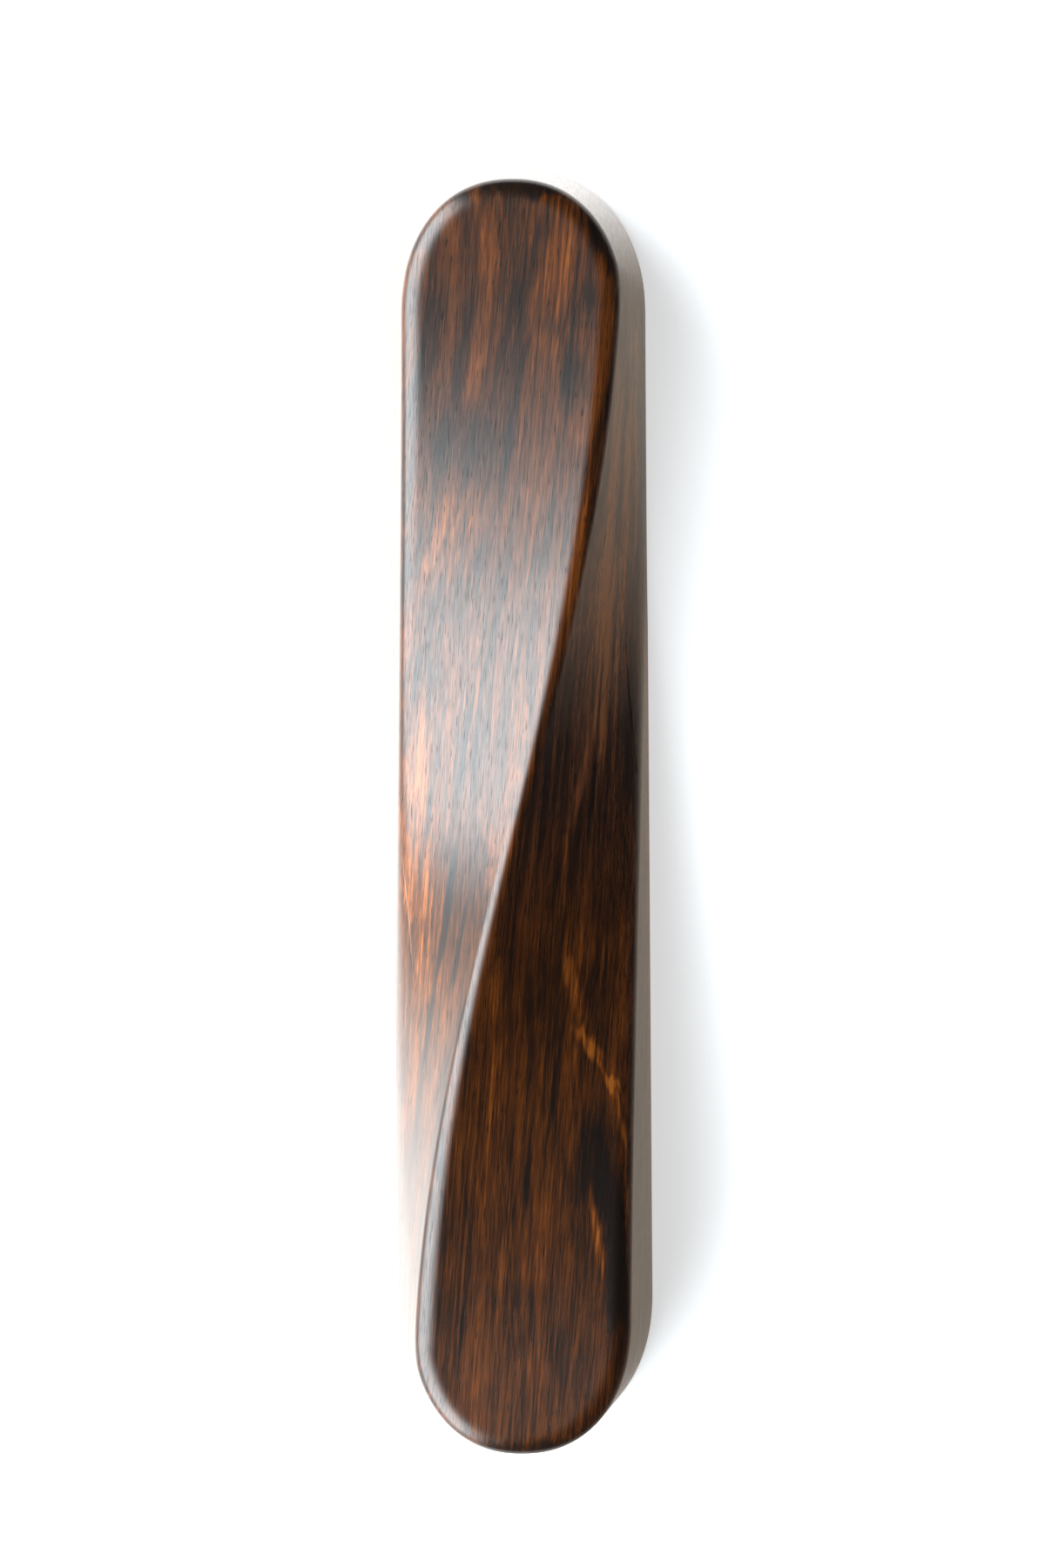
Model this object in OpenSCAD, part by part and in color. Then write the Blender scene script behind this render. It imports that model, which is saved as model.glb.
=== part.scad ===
// Closed wooden case for one dip pen.
// A drafted block with long rounded ends, whose top is two faces that meet in a
// ridge. The ridge crosses the block like one quarter turn of a twist, so each
// face is a flat top at one end and a steep side at the other.
// The block parts on a level plane into a base and a lift-off lid.
// Frame: millimetres, +Z up, +Y along the case towards the nib end of the pen,
// origin at the middle of the underside.

/* [Case] */
// Overall length of the case
case_l = 210; // [200:1:230]
// Width of the case at its foot
case_w = 42.6; // [41:0.2:46]
// Height of the case
case_h = 33; // [31:0.5:36]
// How far the side walls lean in between foot and top
wall_lean = 4; // [3:0.2:4.6]
// How far the two ends lean in between foot and top
end_lean = 3.1; // [2.5:0.1:4]
// Length of each rounded end, from the straight side to the tip
end_l = 24.5; // [22:0.5:28]
// Shape of the end curve: 2 is an ellipse, a larger value is squarer
end_power = 2.2; // [2:0.05:2.6]
// Rounding along the foot of the case
foot_r = 1; // [0.5:0.1:1.5]

/* [Twist] */
// Distance from the middle at which the ridge runs into the rim
twist_reach = 98; // [90:1:102]
// Lean of both faces where the ridge crosses the middle
mid_tilt = 45; // [43:0.5:48]
// Rounding of the ridge where it crosses the middle
ridge_r = 1.5; // [1:0.25:2.5]
// Rounding of the rim around the flat ends
rim_r = 3; // [2.5:0.25:4]
// Rounding where a leaning face meets a wall
edge_r = 0.8; // [0.4:0.1:1.2]

/* [Inside] */
// Height of the plane on which lid and base part
seam_z = 13; // [12.5:0.5:14]
// Wood left under the pen channel
floor_t = 4.5; // [4:0.5:6]
// Width of the pen channel in the base
channel_w = 18; // [16:1:19]
// Length of the pen channel in the base
channel_l = 184; // [178:1:186]
// Width of the hollow in the lid
relief_w = 14; // [12:1:15]
// Length of the hollow in the lid
relief_l = 176; // [170:1:178]
// Depth of the hollow in the lid
relief_h = 6; // [5:0.5:6.5]
// Thickness of the suede lining
lining_t = 1; // [0.6:0.1:1.2]
// Gap between the lining and the plane of the seam
lining_drop = 0.5; // [0.3:0.1:1]

/* [Pen rests] */
// Radius of the groove that holds the pen
groove_r = 5; // [4:0.25:5.5]
// Length of a pen rest along the case
rest_l = 10; // [8:1:14]
// Top of a pen rest below the plane of the seam
rest_drop = 2.5; // [2:0.25:3.5]
// Place of the front rest, near the grip of the pen
rest_front_y = 36; // [25:1:45]
// Place of the rear rest, near the tail of the pen
rest_rear_y = -50; // [-60:1:-40]
// Width of the felt pads in the lid
pad_w = 8; // [6:0.5:10]
// Thickness of the felt pads in the lid
pad_t = 1.2; // [0.8:0.1:1.5]

/* [Magnets and pins] */
// Distance of magnets and pins from the middle line
corner_x = 13.2; // [13:0.1:13.6]
// Distance of magnets and pins from the middle of the case
corner_y = 87; // [86.5:0.25:88]
// Diameter of a magnet
magnet_d = 7; // [5:0.5:7]
// Thickness of a magnet
magnet_t = 3; // [2:0.5:5]
// Depth of a magnet below the plane of the seam
magnet_drop = 0.3; // [0.2:0.1:0.5]
// Diameter of a locating pin
pin_d = 4; // [3:0.25:4]
// Length of a locating pin in the base
pin_in = 8; // [6:0.5:9]
// Length of a locating pin above the seam
pin_out = 5; // [4:0.5:6]
// Running clearance around a pin in its bush
pin_gap = 0.05; // [0.03:0.01:0.08]
// Wall thickness of a bush
bush_t = 1; // [0.8:0.1:1.2]
// Length of a bush
bush_l = 7; // [6.5:0.5:9]
// Depth of a bush's mouth in the lid
bush_drop = 0.2; // [0.1:0.1:0.4]

/* [Hidden] */

foot_x = case_w / 2;
top_x = foot_x - wall_lean;
straight_y = case_l / 2 - end_l;
wall_cos = cos(atan2(wall_lean, case_h));
// The leaning faces reach this far outside the foot at the most
foot_slack = 0.4;
// Degrees over which a face eases into its steepest tilt
tilt_ease = 2;
// How the rounding grows from the ridge to the rim: 1 is evenly, more is later
crest_power = 1.5;

// Mesh of the outer form
fan_steps = 9;
side_steps = 48;
turn_steps = 44;
last_station = side_steps + 2 * fan_steps;
search_span = 120;
search_steps = 18;
round_fn = 64;
// Cutting tools run past the faces that they cut
over = 1;

// ---- Outer form ----

// -1 at one end of the twist, 0 in the middle, 1 at the other end
function twist(y) = sin(90 * max(-1, min(1, y / twist_reach)));

function soft_min(a, b, ease) = (a + b - sqrt((a - b) * (a - b) + ease * ease)) / 2;

// Tilt from level of the face on the right of the ridge; twist -t gives the left face
function tilt(t) =
    soft_min(mid_tilt * (1 + t), atan2(case_h, foot_x + foot_slack - top_x * t), tilt_ease);

// Rounding along the ridge
function crest_r(t) = ridge_r + (rim_r - ridge_r) * pow(abs(t), crest_power);

// Height of the sharp ridge that leaves its rounded crest level with the flat ends
function ridge_z(t) = case_h + crest_r(t) * (sqrt(2) * cos(45 * t) - 1);

// Meets two surfaces with a rounded edge of radius r
function rounded_max(a, b, r) =
    min(-r, max(a, b)) + norm([max(a + r, 0), max(b + r, 0)]);

// Reach of the wall from the middle line at height z, in the fan direction
function wall_reach(fan, z) =
    pow(pow(cos(fan) / (foot_x - wall_lean * z / case_h), end_power)
        + pow(sin(fan) / (end_l - end_lean * z / case_h), end_power), -1 / end_power);

// Negative inside the case, positive outside
function form(x, y, z, wall) =
    let (t = twist(y),
         left = tilt(-t),
         right = tilt(t),
         dx = x - top_x * t,
         dz = z - ridge_z(t),
         face_a = dz * cos(left) - dx * sin(left),
         face_b = dz * cos(right) + dx * sin(right),
         share = (1 + t) / 2)
    share * rounded_max(face_a, rounded_max(face_b, wall, edge_r), crest_r(t))
    + (1 - share) * rounded_max(face_b, rounded_max(face_a, wall, edge_r), crest_r(t));

// Stations run along the case: a fan around one end, the straight sides, the other fan
function fan_of(k) =
    k < fan_steps ? 90 * (fan_steps - k) / fan_steps
    : k > fan_steps + side_steps ? 90 * (k - fan_steps - side_steps) / fan_steps
    : 0;

function spine_of(k) =
    straight_y * (2 * (max(fan_steps, min(fan_steps + side_steps, k)) - fan_steps)
                  / side_steps - 1);

function on_ray(k, side, turn, z0, reach) =
    let (fan = fan_of(k), out = reach * cos(turn), way = k < last_station / 2 ? -1 : 1)
    [side * out * cos(fan), spine_of(k) + way * out * sin(fan), z0 + reach * sin(turn)];

function on_form(k, side, turn, z0, low, high, steps) =
    let (mid = (low + high) / 2)
    steps == 0 ? mid :
    let (p = on_ray(k, side, turn, z0, mid),
         wall = (mid * cos(turn) - wall_reach(fan_of(k), p.z)) * wall_cos)
    form(p.x, p.y, p.z, wall) > 0
        ? on_form(k, side, turn, z0, low, mid, steps - 1)
        : on_form(k, side, turn, z0, mid, high, steps - 1);

function skin(k, side, turn, z0) =
    on_ray(k, side, turn, z0, on_form(k, side, turn, z0, 0, search_span, search_steps));

// Two triangles for a four-sided patch, without the ones that have collapsed
function patch(a, b, c, d) =
    [for (f = [[a, b, c], [a, c, d]])
        if (f[0] != f[1] && f[1] != f[2] && f[2] != f[0]) f];

// ---- Lid form: rays from the middle line, from level through upright to level ----

lid_row = turn_steps + 1;
mid_turn = turn_steps / 2;

function lid_index(k, j) =
    let (folded = (k == 0 || k == last_station) && j > mid_turn ? turn_steps - j : j,
         along = j == mid_turn
            ? max(fan_steps, min(fan_steps + side_steps, k))
            : k)
    along * lid_row + folded;

function lid_point(k, j) =
    let (side = j <= mid_turn ? 1 : -1,
         turn = 90 * (j <= mid_turn ? j : turn_steps - j) / mid_turn)
    skin(k, side, turn, seam_z);

module lid_form() {
    points = [for (k = [0:last_station], j = [0:turn_steps]) lid_point(k, j)];
    top = [for (k = [0:last_station - 1], j = [0:turn_steps - 1])
        each patch(lid_index(k, j), lid_index(k, j + 1),
                   lid_index(k + 1, j + 1), lid_index(k + 1, j))];
    seam = concat([for (k = [0:last_station]) lid_index(k, 0)],
                  [for (k = [last_station - 1:-1:1]) lid_index(k, turn_steps)]);
    polyhedron(points, concat(top, [seam]));
}

// ---- Base form: level rings from the foot to the seam ----

wall_rings = 5;
ring_heights = concat([0, foot_r / 4, foot_r],
                      [for (i = [1:wall_rings]) foot_r + (seam_z - foot_r) * i / wall_rings]);
ring_size = 2 * last_station;

// How far the foot rounding cuts in at height z
function foot_cut(z) = z < foot_r ? foot_r - sqrt(foot_r * foot_r - pow(foot_r - z, 2)) : 0;

function ring_point(i, z) =
    let (k = i <= last_station ? i : ring_size - i,
         side = i <= last_station ? 1 : -1,
         reach = on_form(k, side, 0, z, 0, search_span, search_steps))
    on_ray(k, side, 0, z, reach - foot_cut(z));

module base_form() {
    rings = len(ring_heights);
    points = [for (z = ring_heights, i = [0:ring_size - 1]) ring_point(i, z)];
    walls = [for (r = [0:rings - 2], i = [0:ring_size - 1])
        let (n = (i + 1) % ring_size, low = r * ring_size, high = low + ring_size)
        each patch(low + i, high + i, high + n, low + n)];
    foot = [for (i = [0:ring_size - 1]) i];
    seam = [for (i = [ring_size - 1:-1:0]) (rings - 1) * ring_size + i];
    polyhedron(points, concat(walls, [foot], [seam]));
}

// ---- Shared shapes ----

// A slot with round ends along Y, standing on z
module slot(length, width, z, height) {
    reach = (length - width) / 2;
    translate([0, 0, z]) {
        for (way = [-1, 1])
            translate([0, way * reach, 0]) cylinder(h = height, d = width, $fn = round_fn);
        translate([-width / 2, -reach, 0]) cube([width, 2 * reach, height]);
    }
}

// A round post at one corner of the seam, from z upwards
module post(x, y, d, z, height) {
    translate([x, y, z]) cylinder(h = height, d = d, $fn = round_fn);
}

channel_h = seam_z - floor_t;
lining_top = seam_z - lining_drop;
relief_top = seam_z + relief_h;
lining_floor = floor_t + lining_t;
bush_d = pin_d + 2 * (pin_gap + bush_t);

// ---- Base ----

module base_shell() {
    color("#4b2a1d") difference() {
        base_form();
        slot(channel_l, channel_w, floor_t, channel_h + over);
        for (way = [-1, 1]) {
            post(way * corner_x, way * corner_y, magnet_d,
                 seam_z - magnet_drop - magnet_t, magnet_drop + magnet_t + over);
            post(-way * corner_x, way * corner_y, pin_d, seam_z - pin_in, pin_in + over);
        }
    }
}

module base_lining() {
    color("#8a6f55") difference() {
        slot(channel_l, channel_w, floor_t, lining_top - floor_t);
        slot(channel_l - 2 * lining_t, channel_w - 2 * lining_t, lining_floor, channel_h);
    }
}

// A block across the channel with a round groove for the pen
module pen_rest(y) {
    width = channel_w - 2 * lining_t;
    color("#5a3322") difference() {
        translate([-width / 2, y - rest_l / 2, lining_floor])
            cube([width, rest_l, seam_z - rest_drop - lining_floor]);
        translate([0, y - rest_l / 2 - over, seam_z]) rotate([-90, 0, 0])
            cylinder(h = rest_l + 2 * over, r = groove_r, $fn = round_fn);
    }
}

module base_magnet(way) {
    color("#c4c6c8")
        post(way * corner_x, way * corner_y, magnet_d,
             seam_z - magnet_drop - magnet_t, magnet_t);
}

// A pin with a domed tip, so that the lid finds its place
module locating_pin(way) {
    dome_r = pin_d / 2;
    color("#c9a24a") translate([-way * corner_x, way * corner_y, seam_z - pin_in])
        rotate_extrude($fn = round_fn)
            intersection() {
                union() {
                    square([dome_r, pin_in + pin_out - dome_r]);
                    translate([0, pin_in + pin_out - dome_r]) circle(r = dome_r, $fn = round_fn);
                }
                square([dome_r, pin_in + pin_out]);
            }
}

// ---- Lid ----

module lid_shell() {
    color("#4b2a1d") difference() {
        lid_form();
        slot(relief_l, relief_w, seam_z - over, relief_h + over);
        for (way = [-1, 1]) {
            post(way * corner_x, way * corner_y, magnet_d,
                 seam_z - over, magnet_drop + magnet_t + over);
            post(-way * corner_x, way * corner_y, bush_d,
                 seam_z - over, bush_drop + bush_l + over);
        }
    }
}

module lid_lining() {
    color("#8a6f55") difference() {
        slot(relief_l, relief_w, seam_z + lining_drop, relief_h - lining_drop);
        slot(relief_l - 2 * lining_t, relief_w - 2 * lining_t,
             seam_z, relief_h - lining_t);
    }
}

module lid_pad(y) {
    color("#6f5a47") translate([-pad_w / 2, y - rest_l / 2, relief_top - lining_t - pad_t])
        cube([pad_w, rest_l, pad_t]);
}

module lid_magnet(way) {
    color("#c4c6c8")
        post(way * corner_x, way * corner_y, magnet_d, seam_z + magnet_drop, magnet_t);
}

module pin_bush(way) {
    color("#c9a24a") difference() {
        post(-way * corner_x, way * corner_y, bush_d, seam_z + bush_drop, bush_l);
        post(-way * corner_x, way * corner_y, pin_d + 2 * pin_gap,
             seam_z + bush_drop - over, bush_l + 2 * over);
    }
}

base_shell();
lid_shell();
base_lining();
lid_lining();
pen_rest(rest_front_y);  // pen_rest_front
pen_rest(rest_rear_y);  // pen_rest_rear
lid_pad(rest_front_y);  // lid_pad_front
lid_pad(rest_rear_y);  // lid_pad_rear
base_magnet(1);  // base_magnet_front
base_magnet(-1);  // base_magnet_rear
lid_magnet(1);  // lid_magnet_front
lid_magnet(-1);  // lid_magnet_rear
locating_pin(1);  // locating_pin_front
locating_pin(-1);  // locating_pin_rear
pin_bush(1);  // pin_bush_front
pin_bush(-1);  // pin_bush_rear
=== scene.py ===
"""Looks for the closed, twisted hardwood case of a dip pen: shells, insides, materials, camera and light."""

import math

import bmesh
import bpy
import numpy as np
from mathutils import Matrix, Vector


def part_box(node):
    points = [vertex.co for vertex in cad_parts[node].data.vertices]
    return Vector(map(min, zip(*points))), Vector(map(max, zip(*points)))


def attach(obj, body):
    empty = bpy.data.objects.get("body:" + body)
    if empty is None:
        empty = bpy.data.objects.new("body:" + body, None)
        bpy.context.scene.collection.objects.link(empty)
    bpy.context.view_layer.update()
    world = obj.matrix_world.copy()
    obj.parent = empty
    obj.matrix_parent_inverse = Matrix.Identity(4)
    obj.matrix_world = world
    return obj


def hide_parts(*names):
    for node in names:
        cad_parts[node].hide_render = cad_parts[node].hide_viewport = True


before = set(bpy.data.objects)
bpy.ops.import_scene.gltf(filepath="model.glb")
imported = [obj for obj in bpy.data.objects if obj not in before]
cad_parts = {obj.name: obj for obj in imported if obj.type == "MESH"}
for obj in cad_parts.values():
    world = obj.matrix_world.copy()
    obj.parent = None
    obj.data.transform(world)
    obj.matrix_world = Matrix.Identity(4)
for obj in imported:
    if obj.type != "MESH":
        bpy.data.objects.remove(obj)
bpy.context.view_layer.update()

MM = 0.001

# ---- Sizes of the case, in millimetres, as the CAD model has them ----

CASE_L = 210.0
CASE_W = 42.6
CASE_H = 33.0
WALL_LEAN = 4.0  # how far the side walls lean in between foot and top
END_LEAN = 3.1  # the same for the two ends
END_L = 24.5  # length of each round end
END_POWER = 2.2  # 2 makes the ends elliptical, more makes them squarer
FOOT_R = 1.0
TWIST_REACH = 98.0  # distance from the middle at which the twist is complete
MID_TILT = 45.0  # lean of both faces at the middle, in degrees
RIDGE_R = 1.5  # rounding of the ridge at the middle of the case
RIM_R = 3.0  # rounding of the rims that the ridge runs into
EDGE_R = 0.8  # rounding where a leaning face meets the wall
FOOT_SLACK = 0.4  # the steepest face would meet the desk this far outside the foot
TILT_EASE = 2.0  # softness of the limit on the lean, in degrees
CREST_POWER = 1.5  # above 1, the ridge's rounding grows mostly near the ends
SEAM_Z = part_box("lid_shell")[0].z / MM
FLOOR_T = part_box("base_lining")[0].z / MM
CHANNEL_W = 18.0
CHANNEL_L = 184.0
RELIEF_W = 14.0  # the hollow in the lid
RELIEF_L = 176.0
RELIEF_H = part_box("lid_lining")[1].z / MM - SEAM_Z
LINING_T = 1.0
LINING_DROP = 0.5  # from the seam to the edge of the lining
SHELL_FILLET = 1.5
LINING_FILLET = 0.8
GROOVE_R = 5.0
PIN_GAP = 0.05
ENDS = ("front", "rear")

FOOT_X = CASE_W / 2
TOP_X = FOOT_X - WALL_LEAN
STRAIGHT_Y = CASE_L / 2 - END_L
WALL_COS = math.cos(math.atan2(WALL_LEAN, CASE_H))

# ---- Small details, in millimetres ----

SEAM_CHAMFER = 0.012
POCKET_SLACK = 0.02  # how much larger a pocket's radius is than its piece's
CUT_REACH = 1.0  # how far the cutter of a pocket reaches past the seam
REST_BEVEL = 0.45
MAGNET_EDGE = 0.3
PIN_CHAMFER = 0.3
PIN_GROOVE_UP = 0.35  # height of the pin's groove above the seam
PIN_GROOVE_MOUTH = 0.3  # half the width of that groove at the surface
PIN_GROOVE_FLOOR = 0.12  # half its width at the bottom
PIN_GROOVE_DEPTH = 0.18
BUSH_MOUTH = 0.3
BUSH_EDGE = 0.15

# Rings of a felt pad from the lining to its crown: (inset, share of the thickness)
PAD_RINGS = [(0.25, 0.0), (0.05, 0.12), (0.0, 0.30), (0.05, 0.55), (0.2, 0.76), (0.5, 0.89),
             (1.0, 0.96), (1.8, 0.99), (2.8, 1.0)]
PAD_CORNER = 0.30  # 1 makes the pad's outline an ellipse, less makes its corners squarer

# ---- Fineness of the meshes ----

FAN_STEPS = 36  # stations round a quarter of an end
SIDE_STEPS = 260  # stations along the straight part
RAY_STEPS = 100  # rays from level to upright over the lid
WALL_RINGS = 24
ROUND_STEPS = 6  # facets of a small rounded corner
GROOVE_STEPS = 32
DOME_STEPS = 20
BEVEL_STEPS = 4
SEARCH_STEPS = 40  # halvings in the search for the skin
LATHE_STEPS = 96  # facets round turned pieces, pads and pockets
WELD = 0.0005 * MM
CRISP = 30.0  # edges sharper than this many degrees stay crisp on wood
CRISP_TURNED = 35.0
CRISP_SOFT = 60.0


# ---- Outer form: the same rule as the CAD model ----

def twist(y):
    return np.sin(np.radians(90.0 * np.clip(y / TWIST_REACH, -1.0, 1.0)))


def tilt(t):
    """Lean of the face on the right of the ridge, in radians; twist -t gives the left face."""
    free = MID_TILT * (1.0 + t)
    steepest = np.degrees(np.arctan2(CASE_H, FOOT_X + FOOT_SLACK - TOP_X * t))
    gap = free - steepest
    return np.radians((free + steepest - np.sqrt(gap * gap + TILT_EASE**2)) / 2)


def crest_r(t):
    """Rounding along the ridge."""
    return RIDGE_R + (RIM_R - RIDGE_R) * np.abs(t) ** CREST_POWER


def ridge_z(t):
    return CASE_H + crest_r(t) * (math.sqrt(2) * np.cos(np.radians(45.0 * t)) - 1.0)


def rounded_max(a, b, r):
    corner = np.hypot(np.maximum(a + r, 0.0), np.maximum(b + r, 0.0))
    return np.minimum(-r, np.maximum(a, b)) + corner


def wall_reach(fan, z):
    across = (np.cos(fan) / (FOOT_X - WALL_LEAN * z / CASE_H)) ** END_POWER
    along = (np.sin(fan) / (END_L - END_LEAN * z / CASE_H)) ** END_POWER
    return (across + along) ** (-1.0 / END_POWER)


def form(x, y, z, wall):
    """Negative inside the case, positive outside."""
    t = twist(y)
    left = tilt(-t)
    right = tilt(t)
    dx = x - TOP_X * t
    dz = z - ridge_z(t)
    face_a = dz * np.cos(left) - dx * np.sin(left)
    face_b = dz * np.cos(right) + dx * np.sin(right)
    share = (1.0 + t) / 2
    crest_a = rounded_max(face_a, rounded_max(face_b, wall, EDGE_R), crest_r(t))
    crest_b = rounded_max(face_b, rounded_max(face_a, wall, EDGE_R), crest_r(t))
    return share * crest_a + (1.0 - share) * crest_b


# ---- Stations along the case: a fan round one end, the straight sides, the other fan ----

def stations():
    """Fan angle, place along the straight part from -1 to 1, and direction of the fan, one per station."""
    quarter = np.linspace(math.pi / 2, 0.0, FAN_STEPS, endpoint=False)
    straight = np.linspace(-1.0, 1.0, SIDE_STEPS + 1)
    fan = np.concatenate([quarter, np.zeros(SIDE_STEPS + 1), quarter[::-1]])
    along = np.concatenate([-np.ones(FAN_STEPS), straight, np.ones(FAN_STEPS)])
    way = np.where(along < 0, -1.0, 1.0)
    return fan, along, way


FAN, ALONG, WAY = stations()


def on_ray(side, turn, z0, reach):
    """Points at that reach on rays from the middle line; turn is 0 for level and 90 degrees for upright."""
    fan, along, way = FAN[:, None], ALONG[:, None], WAY[:, None]
    out = reach * np.cos(turn)
    x = side * out * np.cos(fan)
    y = STRAIGHT_Y * along + way * out * np.sin(fan)
    z = z0 + reach * np.sin(turn) + 0.0 * x
    return x, y, z


def skin(side, turn, z0, inset=0.0):
    """Points where rays from the middle line meet the outer form, drawn in by inset."""
    low = np.zeros((len(FAN), len(turn)))
    high = np.full_like(low, CASE_L)
    for _ in range(SEARCH_STEPS):
        mid = (low + high) / 2
        x, y, z = on_ray(side, turn, z0, mid)
        wall = (mid * np.cos(turn) - wall_reach(FAN[:, None], z)) * WALL_COS
        outside = form(x, y, z, wall) > 0
        high = np.where(outside, mid, high)
        low = np.where(outside, low, mid)
    return np.stack(on_ray(side, turn, z0, (low + high) / 2 - inset), axis=-1)


def slot_rows(side, length, width, profile):
    """Points of a round-ended slot along Y. profile is a list of (distance in from the slot's wall, z)."""
    rows = []
    for inward, z in profile:
        reach = width / 2 - inward
        x = side * reach * np.cos(FAN)
        y = (length - width) / 2 * ALONG + WAY * reach * np.sin(FAN)
        rows.append(np.stack([x, y, np.full_like(x, z)], axis=-1))
    return np.stack(rows, axis=1)


def round_corner(centre, radius, start, end, steps=ROUND_STEPS):
    """(u, v) points on an arc, with angles in degrees."""
    turns = np.radians(np.linspace(start, end, steps + 1))
    return [(centre[0] + radius * math.cos(a), centre[1] + radius * math.sin(a)) for a in turns]


# ---- Meshes ----

def new_object(name, mesh):
    obj = bpy.data.objects.new(name, mesh)
    bpy.context.scene.collection.objects.link(obj)
    return obj


def finish_mesh(obj, sharp_angle=CRISP):
    """Smooth shading that breaks only at real edges."""
    mesh = obj.data
    mesh.polygons.foreach_set("use_smooth", [True] * len(mesh.polygons))
    mesh.set_sharp_from_angle(angle=math.radians(sharp_angle))
    mesh.update()
    return obj


def loops_to_object(name, loops):
    """A closed mesh from one closed loop of points per station; folded loops at the two ends are welded."""
    count, size = loops.shape[:2]
    bm = bmesh.new()
    verts = [bm.verts.new(p * MM) for p in loops.reshape(-1, 3)]
    for k in range(count - 1):
        for j in range(size):
            n = (j + 1) % size
            quad = (k * size + j, (k + 1) * size + j, (k + 1) * size + n, k * size + n)
            bm.faces.new([verts[i] for i in quad])
    bmesh.ops.remove_doubles(bm, verts=bm.verts, dist=WELD)
    bmesh.ops.dissolve_degenerate(bm, edges=bm.edges, dist=WELD)
    loose = [edge for edge in bm.edges if not edge.link_faces]
    bmesh.ops.delete(bm, geom=loose, context="EDGES")
    return bmesh_to_object(name, bm)


def bmesh_to_object(name, bm):
    bmesh.ops.recalc_face_normals(bm, faces=bm.faces)
    mesh = bpy.data.meshes.new(name)
    bm.to_mesh(mesh)
    bm.free()
    return new_object(name, mesh)


def centre_row(z, reach=STRAIGHT_Y):
    """The points on the middle line at height z, one per station."""
    y = reach * ALONG
    return np.stack([0 * y, y, 0 * y + z], axis=-1)[:, None, :]


def base_loops():
    """One closed section of the base per station: underside, wall, seam, channel."""
    z_wall = np.linspace(FOOT_R, SEAM_Z - SEAM_CHAMFER, WALL_RINGS)
    foot_turns = np.radians(np.linspace(90.0, 0.0, ROUND_STEPS, endpoint=False))
    profile = round_corner((-LINING_DROP, SEAM_Z - LINING_DROP), LINING_DROP, 90.0, 0.0)
    profile += round_corner((SHELL_FILLET, FLOOR_T + SHELL_FILLET), SHELL_FILLET, 180.0, 270.0)
    level = np.zeros(1)
    halves = []
    for side in (1.0, -1.0):
        foot = [skin(side, level, FOOT_R - FOOT_R * math.sin(a), FOOT_R - FOOT_R * math.cos(a))
                for a in foot_turns]
        wall = [skin(side, level, z) for z in z_wall]
        seam = [skin(side, level, SEAM_Z, SEAM_CHAMFER)]
        channel = slot_rows(side, CHANNEL_L, CHANNEL_W, profile)
        halves.append(np.concatenate(foot + wall + seam + [channel], axis=1))
    right, left = halves
    return np.concatenate([centre_row(0.0), right, centre_row(FLOOR_T), left[:, ::-1]], axis=1)


def lid_loops():
    """One closed section of the lid per station: hollow, seam, outer skin, crest."""
    turns = np.radians(np.linspace(0.0, 90.0, RAY_STEPS + 1))
    above = turns[turns > math.atan2(SEAM_CHAMFER, FOOT_X) * 1.5]
    top_z = SEAM_Z + RELIEF_H
    profile = round_corner((-LINING_DROP, SEAM_Z + LINING_DROP), LINING_DROP, 270.0, 360.0)
    profile += round_corner((SHELL_FILLET, top_z - SHELL_FILLET), SHELL_FILLET, 180.0, 90.0)
    level = np.zeros(1)
    halves = []
    for side in (1.0, -1.0):
        seam = skin(side, level, SEAM_Z, SEAM_CHAMFER)
        edge = skin(side, level, SEAM_Z + SEAM_CHAMFER)
        outer = skin(side, above[:-1], SEAM_Z)
        hollow = slot_rows(side, RELIEF_L, RELIEF_W, profile)
        halves.append(np.concatenate([hollow[:, ::-1], seam, edge, outer], axis=1))
    right, left = halves
    crest = skin(1.0, np.array([math.pi / 2]), SEAM_Z)
    return np.concatenate([centre_row(top_z), right, crest, left[:, ::-1]], axis=1)


def cut_round(obj, node, z_low, z_high):
    """Cuts a round pocket at a CAD node's place, a little wider than the node."""
    low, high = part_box(node)
    centre = (low + high) / 2
    radius = (high.x - low.x) / 2 + POCKET_SLACK * MM
    bm = bmesh.new()
    bmesh.ops.create_cone(bm, cap_ends=True, segments=LATHE_STEPS, radius1=radius, radius2=radius,
                          depth=(z_high - z_low) * MM)
    place = Vector((centre.x, centre.y, (z_low + z_high) / 2 * MM))
    bmesh.ops.translate(bm, verts=bm.verts, vec=place)
    mesh = bpy.data.meshes.new("cutter")
    bm.to_mesh(mesh)
    bm.free()
    cutter = new_object("cutter", mesh)
    mod = obj.modifiers.new("pocket", "BOOLEAN")
    mod.operation = "DIFFERENCE"
    mod.solver = "EXACT"
    mod.object = cutter
    with bpy.context.temp_override(object=obj, active_object=obj, selected_objects=[obj]):
        bpy.ops.object.modifier_apply(modifier=mod.name)
    bpy.data.objects.remove(cutter)
    bpy.data.meshes.remove(mesh)


def make_base_shell():
    obj = loops_to_object("case_base", base_loops())
    for end in ENDS:
        for node in ("base_magnet_" + end, "locating_pin_" + end):
            cut_round(obj, node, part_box(node)[0].z / MM, SEAM_Z + CUT_REACH)
    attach(finish_mesh(obj), "base")
    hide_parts("base_shell")
    return obj


def make_lid_shell():
    obj = loops_to_object("case_lid", lid_loops())
    for end in ENDS:
        for node in ("lid_magnet_" + end, "pin_bush_" + end):
            cut_round(obj, node, SEAM_Z - CUT_REACH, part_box(node)[1].z / MM)
    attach(finish_mesh(obj), "lid")
    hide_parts("lid_shell")
    return obj


# ---- Insides ----

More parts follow.
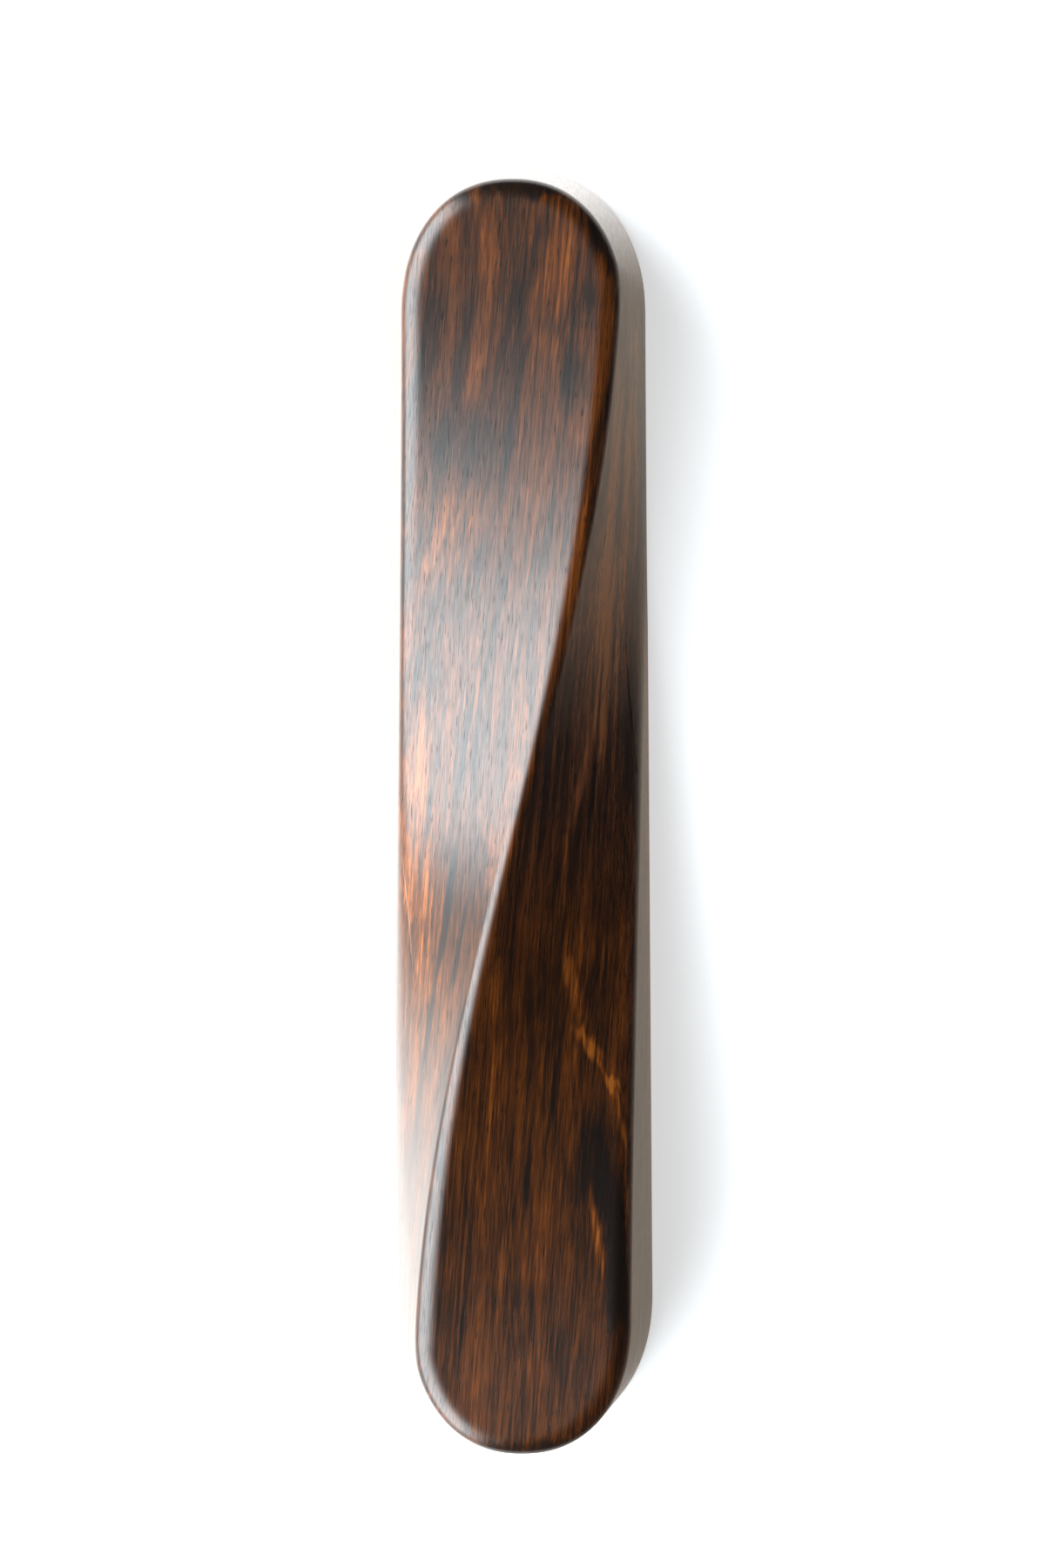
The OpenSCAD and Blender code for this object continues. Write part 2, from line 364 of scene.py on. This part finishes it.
def place_piece(obj, body, node, sharp_angle=CRISP):
    """Smooth obj rides on a body in place of a CAD node."""
    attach(finish_mesh(obj, sharp_angle), body)
    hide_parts(node)
    return obj


def make_lining(name, body, length, width, floor_z, way, depth):
    """A suede-covered tray insert. It opens upwards where way is 1 and downwards where it is -1."""
    lip, inner = LINING_T / 2, LINING_T + LINING_FILLET
    profile = round_corner((SHELL_FILLET, SHELL_FILLET), SHELL_FILLET, 270.0, 180.0)
    profile += round_corner((lip, depth - lip), lip, 180.0, 0.0)
    profile += round_corner((inner, inner), LINING_FILLET, 180.0, 270.0)
    rows = [(inward, floor_z + way * height) for inward, height in profile]
    reach = (length - width) / 2
    right, left = [slot_rows(side, length, width, rows) for side in (1.0, -1.0)]
    outside = centre_row(floor_z, reach)
    inside = centre_row(floor_z + way * LINING_T, reach)
    loops = np.concatenate([outside, right, inside, left[:, ::-1]], axis=1)
    return place_piece(loops_to_object(name + "_suede", loops), body, name, CRISP_SOFT)


def make_rest(end):
    """A bevelled block with a round groove across its top."""
    node = "pen_rest_" + end
    low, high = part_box(node)
    reach = math.degrees(math.asin((SEAM_Z - high.z / MM) / GROOVE_R))
    groove = round_corner((0.0, SEAM_Z), GROOVE_R, 360.0 - reach, 180.0 + reach, GROOVE_STEPS)
    section = [(low.x / MM, low.z / MM), (high.x / MM, low.z / MM), (high.x / MM, high.z / MM)]
    section += groove + [(low.x / MM, high.z / MM)]
    bm = bmesh.new()
    front, back = [[bm.verts.new((x * MM, y, z * MM)) for x, z in section] for y in (low.y, high.y)]
    bm.faces.new(front)
    bm.faces.new(back[::-1])
    for i, (a, b) in enumerate(zip(front, back)):
        n = (i + 1) % len(section)
        bm.faces.new((a, b, back[n], front[n]))
    bmesh.ops.recalc_face_normals(bm, faces=bm.faces)
    edges = [edge for edge in bm.edges if edge.calc_face_angle() > math.radians(CRISP)]
    bmesh.ops.bevel(bm, geom=edges, offset=REST_BEVEL * MM, segments=BEVEL_STEPS, profile=0.5,
                    affect="EDGES")
    return place_piece(bmesh_to_object("pen_rest_block_" + end, bm), "base", node)


def make_pad(end):
    """A soft-edged felt pad on the lining of the lid, crowned towards the pen."""
    node = "lid_pad_" + end
    low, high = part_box(node)
    centre, half = (low + high) / 2, (high - low) / 2
    bm = bmesh.new()
    turns = [2 * math.pi * k / LATHE_STEPS for k in range(LATHE_STEPS)]
    loops = []
    for inset, share in PAD_RINGS:
        loop = []
        for a in turns:
            x = math.copysign(abs(math.cos(a)) ** PAD_CORNER, math.cos(a)) * (half.x - inset * MM)
            y = math.copysign(abs(math.sin(a)) ** PAD_CORNER, math.sin(a)) * (half.y - inset * MM)
            z = high.z - share * (high.z - low.z)
            loop.append(bm.verts.new((centre.x + x, centre.y + y, z)))
        loops.append(loop)
    bm.faces.new(loops[0])
    bm.faces.new(loops[-1][::-1])
    for first, second in zip(loops, loops[1:]):
        for i in range(LATHE_STEPS):
            n = (i + 1) % LATHE_STEPS
            bm.faces.new((first[i], second[i], second[n], first[n]))
    pad = place_piece(bmesh_to_object("felt_pad_" + end, bm), "lid", node, CRISP_SOFT)
    return pad


def turned(name, body, node, profile):
    """A round piece at a CAD node's place. profile is a closed list of (radius, height above its foot)."""
    low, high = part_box(node)
    centre = (low + high) / 2 / MM
    turn = np.linspace(0.0, 2 * math.pi, LATHE_STEPS + 1)[:, None]
    radius, height = np.array(profile).T
    x = centre.x + radius * np.cos(turn)
    y = centre.y + radius * np.sin(turn)
    z = low.z / MM + height + 0.0 * x
    obj = loops_to_object(name, np.stack([x, y, z], axis=-1))
    return place_piece(obj, body, node, CRISP_TURNED)


def make_magnet(body, end):
    """A plated disc with rounded edges."""
    node = body + "_magnet_" + end
    low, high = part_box(node)
    radius, height = (high.x - low.x) / 2 / MM, (high.z - low.z) / MM
    face_r = radius - MAGNET_EDGE
    profile = [(0.0, 0.0)]
    profile += round_corner((face_r, MAGNET_EDGE), MAGNET_EDGE, 270.0, 360.0)
    profile += round_corner((face_r, height - MAGNET_EDGE), MAGNET_EDGE, 0.0, 90.0)
    profile.append((0.0, height))
    return turned("magnet_disc_" + body + "_" + end, body, node, profile)


def make_pin(end):
    """A turned pin with a chamfered foot, a shallow groove just above the seam and a domed tip."""
    node = "locating_pin_" + end
    low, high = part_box(node)
    radius, height = (high.x - low.x) / 2 / MM, (high.z - low.z) / MM
    groove = SEAM_Z - low.z / MM + PIN_GROOVE_UP
    neck = radius - PIN_GROOVE_DEPTH
    profile = [(0.0, 0.0), (radius - PIN_CHAMFER, 0.0), (radius, PIN_CHAMFER),
               (radius, groove - PIN_GROOVE_MOUTH), (neck, groove - PIN_GROOVE_FLOOR),
               (neck, groove + PIN_GROOVE_FLOOR), (radius, groove + PIN_GROOVE_MOUTH)]
    profile += round_corner((0.0, height - radius), radius, 0.0, 90.0, DOME_STEPS)
    return turned("brass_pin_" + end, "base", node, profile)


def make_bush(end):
    """A tube with a chamfered mouth at the seam and eased outer edges."""
    node = "pin_bush_" + end
    low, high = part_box(node)
    pin_low, pin_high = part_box("locating_pin_" + end)
    outer, height = (high.x - low.x) / 2 / MM, (high.z - low.z) / MM
    inner = (pin_high.x - pin_low.x) / 2 / MM + PIN_GAP
    profile = [(inner, BUSH_MOUTH), (inner + BUSH_MOUTH, 0.0), (outer - BUSH_EDGE, 0.0),
               (outer, BUSH_EDGE), (outer, height - BUSH_EDGE), (outer - BUSH_EDGE, height),
               (inner, height)]
    return turned("brass_bush_" + end, "lid", node, profile)


# ---- Shader nodes ----

class Net:
    """Adds shader nodes to one node tree, with short names for what the materials use most."""

    def __init__(self, tree):
        self.tree = tree

    def feed(self, socket, value):
        if isinstance(value, bpy.types.NodeSocket):
            self.tree.links.new(value, socket)
        else:
            socket.default_value = value

    def node(self, kind, *values, **settings):
        """A node with its settings, and values for its inputs in order."""
        made = self.tree.nodes.new("ShaderNode" + kind)
        for name, value in settings.items():
            setattr(made, name, value)
        for socket, value in zip(made.inputs, values):
            self.feed(socket, value)
        return made

    def math(self, operation, a, b=0.0, c=0.0):
        return self.node("Math", a, b, c, operation=operation).outputs[0]

    def vector(self, operation, a, b=(0.0, 0.0, 0.0)):
        made = self.node("VectorMath", a, b, operation=operation)
        scalar = operation in ("DOT_PRODUCT", "LENGTH")
        return made.outputs["Value" if scalar else "Vector"]

    def blend(self, share, a, b, blend_type="MIX"):
        made = self.node("Mix", data_type="RGBA", blend_type=blend_type)
        for socket, value in ((made.inputs[0], share), (made.inputs[6], a), (made.inputs[7], b)):
            self.feed(socket, value)
        return made.outputs[2]

    def span(self, value, low, high, to_low=0.0, to_high=1.0, ease="SMOOTHSTEP"):
        return self.node("MapRange", value, low, high, to_low, to_high, interpolation_type=ease).outputs[0]

    def ramp(self, value, stops):
        """Colours by value; stops is a list of (place from 0 to 1, colour or grey)."""
        made = self.node("ValToRGB", value)
        points = made.color_ramp.elements
        while len(points) < len(stops):
            points.new(0.5)
        for point, (place, colour) in zip(points, stops):
            grey = isinstance(colour, (int, float))
            point.position = place
            point.color = (*((colour,) * 3 if grey else colour), 1.0)
        return made.outputs[0]

    def noise(self, vector, detail=2.0, rough=0.5, warp=0.0):
        made = self.node("TexNoise")
        made.inputs["Vector"].default_value = (0.0, 0.0, 0.0)
        self.feed(made.inputs["Vector"], vector)
        made.inputs["Scale"].default_value = 1.0
        made.inputs["Detail"].default_value = detail
        made.inputs["Roughness"].default_value = rough
        made.inputs["Distortion"].default_value = warp
        return made

    def bump(self, shader, height, distance, strength=1.0):
        made = self.node("Bump")
        made.inputs["Strength"].default_value = strength
        made.inputs["Distance"].default_value = distance
        self.feed(made.inputs["Height"], height)
        self.feed(shader.inputs["Normal"], made.outputs[0])

    def line_noise(self, place, detail=2.0, rough=0.5):
        """Noise along one coordinate."""
        made = self.node("TexNoise", noise_dimensions="1D")
        self.feed(made.inputs["W"], place)
        made.inputs["Scale"].default_value = 1.0
        made.inputs["Detail"].default_value = detail
        made.inputs["Roughness"].default_value = rough
        return made.outputs[0]


def new_material(name):
    """A material with an empty tree but for its Principled shader and output: (material, net, shader)."""
    mat = bpy.data.materials.new(name)
    mat.use_nodes = True
    return mat, Net(mat.node_tree), mat.node_tree.nodes["Principled BSDF"]


def millimetres(net):
    """The surface point in the case's own frame, in millimetres."""
    place = net.node("TexCoord").outputs["Object"]
    return net.vector("MULTIPLY", place, (1 / MM, 1 / MM, 1 / MM))


def stretched(net, place, across, along, deep=None):
    """place scaled for noise with cells of that size across, along and down through the grain."""
    return net.vector("MULTIPLY", place, (1 / across, 1 / along, 1 / (deep or across)))


# ---- Wood ----

GRAIN_LEAN = math.radians(-5.0)  # turn of the grain about the upright axis
LAYER_NORMAL = (-0.863, 0.068, 0.508)  # direction across the growth layers
LAYER_PITCH = 2.6  # millimetres across the layers for one cell of the stripe noise
LAYER_DRIFT = 16.0  # reach of the slow waves in the layers, in millimetres
LAYER_RIPPLE = 2.2  # reach of the quick waves

# Weights of the parts of the tone, which is 0 for charcoal and 1 for flame
BASE_TONE = 0.10
STRIPE_WEIGHT = 0.22
CLOUD_WEIGHT = 0.26
STRAND_WEIGHT = 0.9
HAIR_WEIGHT = 0.65
PORE_SHADE = 0.7  # how far a pore darkens towards charcoal

CHARCOAL = (0.0060, 0.0036, 0.0028)
DARK_BROWN = (0.0190, 0.0062, 0.0022)
MID_BROWN = (0.052, 0.0138, 0.0026)
WARM_BROWN = (0.104, 0.0270, 0.0040)
FLAME = (0.195, 0.054, 0.0062)

# Patches of wood figure, some of them painted light and painted shade: x, y, half width, half length, lean
# to the right in degrees, change of tone
FIGURE_AND_PAINTED_LIGHT = [
    (4.5, 92, 1.6, 9, 12, -0.20), (1.5, 78, 1.6, 14, 7, -0.18), (-1.0, 60, 1.4, 11, 8, -0.18),
    (7.5, 88, 3.6, 9, 6, 0.24), (5.5, 76, 2.6, 3.2, 0, 0.16), (12.5, 84, 1.8, 4, 8, -0.18),
    (10.0, 70, 3.4, 7, 0, -0.24), (-8.0, 61, 8.0, 6, -14, -0.20), (-14.0, 73, 3.4, 14, 2, -0.18),
    (-6.0, 50, 4.5, 6, 4, 0.16), (-4.0, 90, 6.0, 8, 8, 0.06), (-12.0, 44, 6.0, 10, 6, 0.22),
    (15.0, 50, 1.3, 26, 5, 0.30), (14.2, 26, 1.5, 22, 4, 0.60), (12.0, 30, 6.0, 34, 4, 0.32),
    (8.0, 16, 1.4, 14, 8, -0.22), (17.6, 12, 0.9, 14, 0, -0.30), (10.2, 6, 0.9, 14, 12, 0.30),
    (-17.0, -6, 3.2, 30, 2, 0.34), (-16.5, 20, 3.4, 20, 0, 0.14), (1.0, 12, 3.0, 26, 12, 0.14),
    (-11.4, -14, 0.8, 12, 9, -0.60), (-13.8, -28, 0.6, 14, 9, -0.50), (-16.4, -46, 0.6, 16, 8, -0.40),
    (-9.4, -20, 0.5, 10, 11, -0.40), (-17.8, -26, 0.5, 20, 5, -0.34), (-12.6, -46, 0.5, 14, 9, -0.36),
    (7.6, -12, 1.1, 14, 0, 0.26), (11.0, -21, 3.6, 5, -10, 0.12), (3.5, -27, 4.0, 7, 4, -0.22),
    (8.9, -27, 1.4, 7, -14, 0.42), (11.2, -36, 1.3, 4.6, -36, 0.66), (14.3, -42, 0.9, 5, -32, 0.52),
    (16.3, -49.5, 0.6, 6, -12, 0.44), (17.1, -64, 0.45, 14, 0, 0.44), (10.2, -54, 1.8, 10, 6, -0.24),
    (13.6, -57, 2.8, 13, -4, -0.42), (15.4, -72, 2.2, 18, 2, -0.50), (12.2, -66, 0.8, 8, -8, 0.50),
    (8.0, -62, 1.2, 10, -6, -0.20), (-3.6, -27, 1.2, 6, 8, 0.24), (-4.5, -43, 3.0, 10, 10, 0.16),
    (-2.0, -76, 7.0, 2.6, 0, -0.10), (-7.5, -86, 5.0, 7, 4, 0.12), (2.5, -88, 2.8, 6, 4, 0.10),
    # The second and third patches on this line lighten the upper right face and the right wall: partly the
    # wood's lighter tone, partly painted bounce light from the floor on the right.
    (6.4, -86, 1.3, 8, 4, -0.20), (17.5, 60, 2.6, 44, 0, 0.38), (21.5, 0, 1.8, 105, 0, 0.30),
    (19.4, 58, 0.35, 42, 0.6, 0.50), (20.5, 60, 0.30, 44, 0, -0.44), (18.3, 60, 0.40, 36, 2, 0.36),
    (17.2, 56, 0.40, 32, 4, -0.34), (20.9, -30, 0.25, 66, 0, 0.44), (16.0, 68, 0.35, 24, 5, -0.30),
    # The last patch on this line and all three on the next darken the two end rims and the right rim near
    # the +Y end: painted shade where the rounded rims face the dark room.
    (-15.0, -30, 4.5, 34, 4, 0.20), (-13.0, 12, 4.0, 14, 10, 0.10), (4.0, 101.5, 14.0, 2.4, -6, -0.34),
    (15.0, 92, 1.9, 9, -24, -0.36), (17.4, 78, 1.1, 12, 0, -0.30), (2.0, -101.5, 15.0, 2.2, 0, -0.28),
    (-13.6, 6, 0.5, 20, 10, -0.26), (-8.0, 14, 0.5, 22, 11, -0.24), (-2.6, 34, 0.5, 20, 12, -0.22),
    (2.4, 44, 0.6, 18, 12, 0.16), (-6.4, 20, 0.5, 20, 11, 0.16), (12.6, 10, 0.4, 22, 5, -0.40),
    (15.8, 14, 0.4, 24, 2, 0.30), (5.6, -44, 0.5, 16, 8, -0.30), (1.0, -58, 0.5, 18, 6, -0.28),
    (-6.0, -62, 0.5, 20, 6, 0.18), (3.6, -70, 0.5, 14, 4, 0.20), (-9.6, -72, 0.5, 16, 4, -0.24),
]


def figure_and_painted_light_tone(net, place):
    """Sum of the soft-edged patches."""
    tone = 0.0
    for x, y, half_w, half_l, lean, change in FIGURE_AND_PAINTED_LIGHT:
        local = net.node("Mapping", place, (x, y, 0.0), (0.0, 0.0, -math.radians(lean)),
                         (half_w, half_l, CASE_L), vector_type="TEXTURE").outputs[0]
        patch = net.span(net.vector("LENGTH", local), 0.25, 1.15, change, 0.0)
        tone = net.math("ADD", tone, patch)
    return tone


def wood_material(name, figured_and_painted, lift):
    """Oiled dark rosewood: charcoal and orange-brown growth layers, fine fibres, thin open pores.

    The flag after the name adds the listed patches of wood figure, some of which are painted light and
    painted shade, and lift makes the whole wood lighter.
    """
    mat, net, shader = new_material(name)
    place = millimetres(net)
    grain = net.node("Mapping", place, (0.0, 0.0, 0.0), (0.0, 0.0, -GRAIN_LEAN),
                     vector_type="POINT").outputs[0]

    drift = net.noise(stretched(net, grain, 20.0, 60.0), detail=1.0).outputs[0]
    ripple = net.noise(stretched(net, grain, 5.0, 34.0), detail=2.0).outputs[0]
    layer = net.vector("DOT_PRODUCT", place, LAYER_NORMAL)
    layer = net.math("MULTIPLY_ADD", drift, LAYER_DRIFT, layer)
    layer = net.math("MULTIPLY_ADD", ripple, LAYER_RIPPLE, layer)
    stripe_noise = net.line_noise(net.math("DIVIDE", layer, LAYER_PITCH), 4.0, 0.68)
    stripes = net.span(stripe_noise, 0.34, 0.66)
    cloud = net.span(net.noise(stretched(net, grain, 5.5, 15.0), 4.0, 0.62).outputs[0],
                     0.30, 0.70, ease="LINEAR")
    strand = net.noise(stretched(net, grain, 0.5, 30.0, 3.5), 3.0, 0.6).outputs[0]
    hair = net.noise(stretched(net, grain, 0.13, 5.0, 1.0), 1.0).outputs[0]

    tone = net.math("MULTIPLY_ADD", stripes, STRIPE_WEIGHT, BASE_TONE + lift)
    tone = net.math("MULTIPLY_ADD", cloud, CLOUD_WEIGHT, tone)
    if figured_and_painted:
        feather = net.noise(stretched(net, grain, 1.6, 14.0, 4.0), 2.0, 0.55).outputs["Color"]
        feather = net.vector("SUBTRACT", feather, (0.5, 0.5, 0.5))
        feather = net.vector("MULTIPLY", feather, (1.2, 7.0, 0.0))
        patches = figure_and_painted_light_tone(net, net.vector("ADD", place, feather))
        fibres = net.span(strand, 0.3, 0.7, 0.45, 1.45, ease="LINEAR")
        tone = net.math("MULTIPLY_ADD", patches, fibres, tone)
    tone = net.math("MULTIPLY_ADD", net.math("SUBTRACT", strand, 0.5), STRAND_WEIGHT, tone)
    tone = net.math("MULTIPLY_ADD", net.math("SUBTRACT", hair, 0.5), HAIR_WEIGHT, tone)
    colour = net.ramp(tone, [(0.0, CHARCOAL), (0.22, DARK_BROWN), (0.48, MID_BROWN),
                             (0.72, WARM_BROWN), (1.0, FLAME)])

    pore_cells = net.noise(stretched(net, grain, 0.11, 2.8, 0.8), 0.0).outputs[0]
    pores = net.span(pore_cells, 0.34, 0.26)
    colour = net.blend(net.math("MULTIPLY", pores, PORE_SHADE), colour, (*CHARCOAL, 1.0))
    net.feed(shader.inputs["Base Color"], colour)
    gloss = net.math("MULTIPLY_ADD", hair, 0.36, 0.32)
    net.feed(shader.inputs["Specular IOR Level"], net.math("MULTIPLY_ADD", pores, -0.18, gloss))
    net.feed(shader.inputs["Roughness"], net.math("MULTIPLY_ADD", strand, 0.12, 0.16))
    relief = net.math("MULTIPLY_ADD", pores, -0.25, net.math("MULTIPLY", hair, 0.4))
    net.bump(shader, relief, 0.035 * MM, 0.45)
    return mat


# ---- Suede, felt and metal ----

SUEDE_COLOURS = [(0.25, (0.040, 0.023, 0.013)), (0.50, (0.074, 0.044, 0.026)),
                 (0.75, (0.120, 0.075, 0.047))]
FELT_COLOURS = [(0.30, (0.024, 0.014, 0.010)), (0.50, (0.052, 0.031, 0.021)),
                (0.72, (0.110, 0.070, 0.048))]

# Clean colour, dull colour, and roughness where clean
NICKEL = ((0.66, 0.64, 0.60), (0.50, 0.49, 0.47), 0.14)
BRASS = ((0.82, 0.60, 0.27), (0.62, 0.42, 0.17), 0.18)


def suede_material(name):
    """Short brushed nap, lighter where the pile leans towards the light."""
    mat, net, shader = new_material(name)
    place = millimetres(net)
    brushed = net.noise(net.vector("MULTIPLY", place, (0.16, 0.09, 0.16)), 3.0, 0.6, 0.6).outputs[0]
    nap = net.noise(net.vector("MULTIPLY", place, (3.2, 3.2, 3.2)), 4.0, 0.7).outputs[0]
    tone = net.math("MULTIPLY_ADD", net.math("SUBTRACT", nap, 0.5), 0.7, brushed)
    net.feed(shader.inputs["Base Color"], net.ramp(tone, SUEDE_COLOURS))
    shader.inputs["Roughness"].default_value = 0.95
    shader.inputs["Specular IOR Level"].default_value = 0.15
    shader.inputs["Sheen Weight"].default_value = 0.2
    shader.inputs["Sheen Roughness"].default_value = 0.5
    shader.inputs["Sheen Tint"].default_value = (0.80, 0.66, 0.52, 1.0)
    net.bump(shader, nap, 0.12 * MM, 0.6)
    return mat


def felt_material(name):
    """Dense wool felt: tangled fibres of slightly different browns."""
    mat, net, shader = new_material(name)
    place = millimetres(net)
    tangle = net.noise(net.vector("MULTIPLY", place, (2.4, 2.4, 2.4)), 3.0, 0.6, 2.5).outputs[0]
    fibre = net.noise(net.vector("MULTIPLY", place, (9.0, 5.0, 9.0)), 3.0, 0.7, 1.5).outputs[0]
    tone = net.math("MULTIPLY_ADD", fibre, 0.55, net.math("MULTIPLY", tangle, 0.45))
    net.feed(shader.inputs["Base Color"], net.ramp(tone, FELT_COLOURS))
    shader.inputs["Roughness"].default_value = 1.0
    shader.inputs["Specular IOR Level"].default_value = 0.10
    shader.inputs["Sheen Weight"].default_value = 0.5
    shader.inputs["Sheen Roughness"].default_value = 0.6
    net.bump(shader, tone, 0.18 * MM, 0.8)
    return mat


def metal_material(name, clean, dull, rough):
    """Metal with fine scratches and a cloudy handled film."""
    mat, net, shader = new_material(name)
    place = millimetres(net)
    film = net.noise(net.vector("MULTIPLY", place, (0.8, 0.8, 0.8)), 4.0, 0.6, 0.5).outputs[0]
    scratch = net.noise(net.vector("MULTIPLY", place, (14.0, 1.1, 3.0)), 2.0, 0.6, 0.3).outputs[0]
    rings = net.line_noise(net.math("MULTIPLY", net.node("SeparateXYZ", place).outputs[2], 9.0), 2.0, 0.7)
    net.feed(shader.inputs["Base Color"], net.ramp(film, [(0.35, clean), (0.70, dull)]))
    shader.inputs["Metallic"].default_value = 1.0
    worn = net.math("MULTIPLY_ADD", film, 0.14, rough)
    net.feed(shader.inputs["Roughness"], net.math("MULTIPLY_ADD", scratch, 0.10, worn))
    net.bump(shader, net.math("ADD", scratch, rings), 0.012 * MM, 0.35)
    return mat


def dress(pieces, material):
    for piece in pieces:
        piece.data.materials.clear()
        piece.data.materials.append(material)


def make_case():
    shells = [make_base_shell(), make_lid_shell()]
    linings = [make_lining("base_lining", "base", CHANNEL_L, CHANNEL_W, FLOOR_T, 1,
                           SEAM_Z - LINING_DROP - FLOOR_T),
               make_lining("lid_lining", "lid", RELIEF_L, RELIEF_W, SEAM_Z + RELIEF_H, -1,
                           RELIEF_H - LINING_DROP)]
    magnets = [make_magnet(body, end) for body in ("base", "lid") for end in ENDS]
    dress(shells, wood_material("shell_wood", True, 0.0))
    dress(linings, suede_material("lining_suede"))
    dress([make_rest(end) for end in ENDS], wood_material("rest_wood", False, 0.18))
    dress([make_pad(end) for end in ENDS], felt_material("wool_felt"))
    dress(magnets, metal_material("nickel_plate", *NICKEL))
    dress([make_pin(end) for end in ENDS] + [make_bush(end) for end in ENDS],
          metal_material("turned_brass", *BRASS))


# ---- Camera ----

LENS = 126.9
CAMERA_PLACE = (0.0200, 0.06845, 0.91)
CAMERA_TARGET = (0.0003, 0.00385, 0.0)
CAMERA_UP = (0.0085, 1.0, 0.0)


def aim(obj, place, target, up=(0.0, 0.0, 1.0)):
    """Puts obj at place, looking at target, with its top towards up."""
    back = (Vector(place) - Vector(target)).normalized()
    right = Vector(up).cross(back).normalized()
    turn = Matrix((right, back.cross(right), back)).transposed().to_4x4()
    obj.matrix_world = Matrix.Translation(place) @ turn


def make_camera():
    data = bpy.data.cameras.new("camera")
    data.sensor_width = 36.0
    data.lens = LENS
    camera = new_object("camera", data)
    aim(camera, CAMERA_PLACE, CAMERA_TARGET, up=CAMERA_UP)
    bpy.context.scene.camera = camera


# ---- Floor and light ----

FLOOR_Z = -0.05 * MM  # just under the case, so that the two surfaces don't coincide
FLOOR_REACH = 3.0
FLOOR_ALBEDO = 0.65
FLOOR_GLOW = 0.62
WINDOW_TINT = (0.86, 0.95, 1.0)
TABLE_TINT = (1.0, 0.98, 0.96)
SHADE_TINT = (1.0, 0.88, 0.74)

# Bearings are turns from the left. Each light is full within one turn of its centre and gone past another.
WINDOW_TURN, WINDOW_FULL, WINDOW_GONE = [math.radians(a) for a in (-5, 45, 70)]
TABLE_TURN, TABLE_FULL, TABLE_GONE = [math.radians(a) for a in (25, 75, 155)]

# The table ends at this share of the way from straight down to straight up, with a soft edge
TABLE_EDGE = 0.375
TABLE_SOFT = 0.02

# Radiance by height, in degrees above the horizon, for the window, the room, and the table near the
# window and away from it. PEAK is the strength that a ramp value of 1 stands for.
PEAK = 13.0
WINDOW = [(-22, 2.0), (-16, 3.6), (-10, 6.6), (-4, 9.6), (3, 12.2), (14, 12.8), (32, 12.8), (46, 10.8),
          (54, 7.8), (63, 5.0), (72, 2.8), (80, 1.5), (85, 0.85), (90, 0.24)]
ROOM = [(-6, 0.05), (45, 0.04), (65, 0.07), (80, 0.11), (90, 0.22)]
TABLE_LIT = [(-90, 2.1), (-55, 2.4), (-42, 1.9), (-30, 1.6), (-20, 2.0)]
TABLE_SHADED = [(-90, 0.45), (-50, 0.40), (-20, 0.14)]


def make_floor():
    mesh = bpy.data.meshes.new("floor")
    corners = [(x * FLOOR_REACH, y * FLOOR_REACH, FLOOR_Z) for x, y in ((-1, -1), (1, -1), (1, 1), (-1, 1))]
    mesh.from_pydata(corners, [], [(0, 1, 2, 3)])
    floor = new_object("floor", mesh)
    floor.visible_glossy = False
    mat, net, shader = new_material("floor")
    shader.inputs["Base Color"].default_value = (*(FLOOR_ALBEDO,) * 3, 1.0)
    shader.inputs["Roughness"].default_value = 0.9
    shader.inputs["Emission Color"].default_value = (1.0, 1.0, 1.0, 1.0)
    shader.inputs["Emission Strength"].default_value = FLOOR_GLOW
    mesh.materials.append(mat)


def make_studio_light():
    """A broad soft window on the left, a dim room elsewhere and a white backdrop."""
    world = bpy.data.worlds.new("studio")
    world.use_nodes = True
    net = Net(world.node_tree)
    window, out = world.node_tree.nodes["Background"], world.node_tree.nodes["World Output"]
    x, y, z = net.node("SeparateXYZ", net.node("TexCoord").outputs["Generated"]).outputs
    height = net.math("MULTIPLY_ADD", net.math("ARCSINE", z), 1 / math.pi, 0.5)
    room, sun_side, shaded, lit = [
        net.ramp(height, [((up + 90) / 180, [level / PEAK * part for part in tint]) for up, level in stops])
        for stops, tint in ((ROOM, WINDOW_TINT), (WINDOW, WINDOW_TINT),
                            (TABLE_SHADED, SHADE_TINT), (TABLE_LIT, TABLE_TINT))]
    bearing = net.math("ARCTAN2", y, net.math("MULTIPLY", x, -1.0))
    window_turn, table_turn = [net.math("ABSOLUTE", net.math("SUBTRACT", bearing, centre))
                               for centre in (WINDOW_TURN, TABLE_TURN)]
    above = net.blend(net.span(window_turn, WINDOW_GONE, WINDOW_FULL), room, sun_side)
    below = net.blend(net.span(table_turn, TABLE_GONE, TABLE_FULL), shaded, lit)
    light = net.blend(net.span(height, TABLE_EDGE + TABLE_SOFT, TABLE_EDGE), above, below)
    net.feed(window.inputs["Color"], light)
    window.inputs["Strength"].default_value = PEAK
    backdrop = net.node("Background", (1.0, 1.0, 1.0, 1.0), 1.0).outputs[0]
    seen = net.node("LightPath").outputs["Is Camera Ray"]
    net.feed(out.inputs["Surface"], net.node("MixShader", seen, window.outputs[0], backdrop).outputs[0])
    bpy.context.scene.world = world


make_case()
make_camera()
make_floor()
make_studio_light()
bpy.context.scene.view_settings.view_transform = "Standard"
